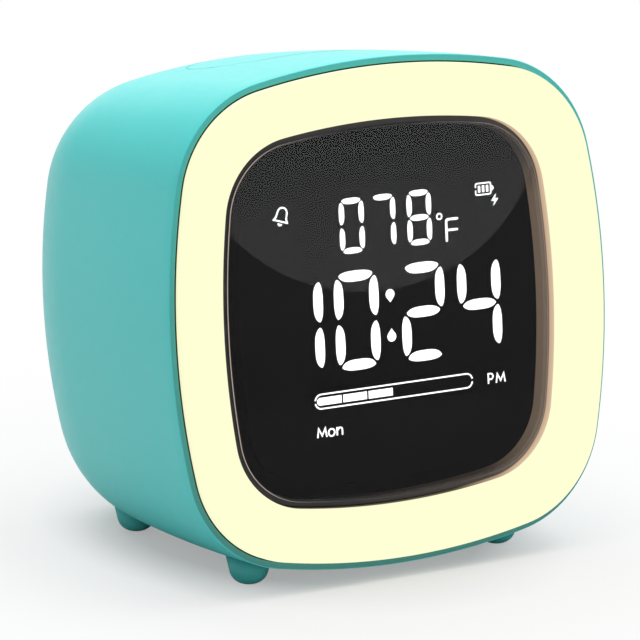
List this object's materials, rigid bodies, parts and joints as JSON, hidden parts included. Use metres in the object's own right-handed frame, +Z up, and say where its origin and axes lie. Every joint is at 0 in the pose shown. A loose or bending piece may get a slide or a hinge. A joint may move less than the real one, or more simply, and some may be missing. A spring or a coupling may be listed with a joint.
{
  "type": "digital alarm clock",
  "caption": "Bedside digital alarm clock in a soft rounded television-shaped case, with a glowing ring round a dark display, a top snooze button, rear keys and stubby feet.",
  "frame": {"origin": "on the table, under the middle of the clock's box, level with the bases of its feet", "axes": "+Z up, +X to the reader's right as they face the display, +Y from the display to the back"},
  "size_m": [0.103, 0.0886, 0.1047],
  "materials": {
    "case_teal": "soft-touch, very fine grain",
    "key_teal": "moulded silicone, satin",
    "ring_cream": "milky diffuser, lit from behind",
    "bezel_black": "polished black",
    "lens_smoked": "smoked clear acrylic, polished",
    "display_black": "dark display glass",
    "digit_white": "lit strokes",
    "moulding_white": "moulded, plain",
    "ribbon_amber": "polyimide film",
    "board_green": "solder mask over glass fibre",
    "lamp_yellow": "phosphor under clear resin",
    "screw_steel": "zinc plated",
    "socket_steel": "drawn shell, nickel plated",
    "component_black": "moulded epoxy",
    "battery_foil": "laminated foil pouch",
    "speaker_black": "black basket",
    "gasket_foam": "closed-cell foam"
  },
  "bodies": {
    "clock_body": {"main_shell": "case_teal", "rear_cover": "case_teal", "front_left_foot": "case_teal", "front_right_foot": "case_teal", "rear_left_foot": "case_teal", "rear_right_foot": "case_teal", "light_ring": "ring_cream", "bezel_frame": "bezel_black", "display_lens": "lens_smoked", "display_panel": "display_black", "backlight": "display_black", "display_digits": "digit_white", "battery_tray": "moulding_white", "snooze_bridge": "moulding_white", "speaker_clamp": "moulding_white", "display_ribbon": "ribbon_amber", "light_board": "board_green", "main_board": "board_green", "key_board": "board_green", "charge_board": "board_green", "ring_leds": "lamp_yellow", "frame_screws": "screw_steel", "board_screws": "screw_steel", "bridge_screws": "screw_steel", "cover_screws": "screw_steel", "key_board_screws": "screw_steel", "speaker_screws": "screw_steel", "charging_socket": "socket_steel", "clock_chip": "component_black", "temperature_sensor": "component_black", "snooze_switch": "component_black", "key_switches": "component_black", "battery_cell": "battery_foil", "speaker": "speaker_black", "speaker_gasket": "gasket_foam"},
    "snooze": {"snooze_button": "case_teal"},
    "alarm_key": {"alarm_key": "key_teal"},
    "set_key": {"set_key": "key_teal"},
    "up_key": {"up_key": "key_teal"},
    "down_key": {"down_key": "key_teal"}
  },
  "joints": [
    {"name": "snooze_press", "type": "slide", "parent": "clock_body", "child": "snooze", "axis": [0, -0.0854, -0.9963], "range_m": [0, 0.0008], "stiffness_N_per_m": 2500, "springref_m": -0.0002},
    {"name": "alarm_key_press", "type": "slide", "parent": "clock_body", "child": "alarm_key", "axis": [0, -0.9963, 0.0854], "range_m": [0, 0.0007], "stiffness_N_per_m": 2000, "springref_m": -0.0002},
    {"name": "set_key_press", "type": "slide", "parent": "clock_body", "child": "set_key", "axis": [0, -0.9963, 0.0854], "range_m": [0, 0.0007], "stiffness_N_per_m": 2000, "springref_m": -0.0002},
    {"name": "up_key_press", "type": "slide", "parent": "clock_body", "child": "up_key", "axis": [0, -0.9963, 0.0854], "range_m": [0, 0.0007], "stiffness_N_per_m": 2000, "springref_m": -0.0002},
    {"name": "down_key_press", "type": "slide", "parent": "clock_body", "child": "down_key", "axis": [0, -0.9963, 0.0854], "range_m": [0, 0.0007], "stiffness_N_per_m": 2000, "springref_m": -0.0002}
  ]
}
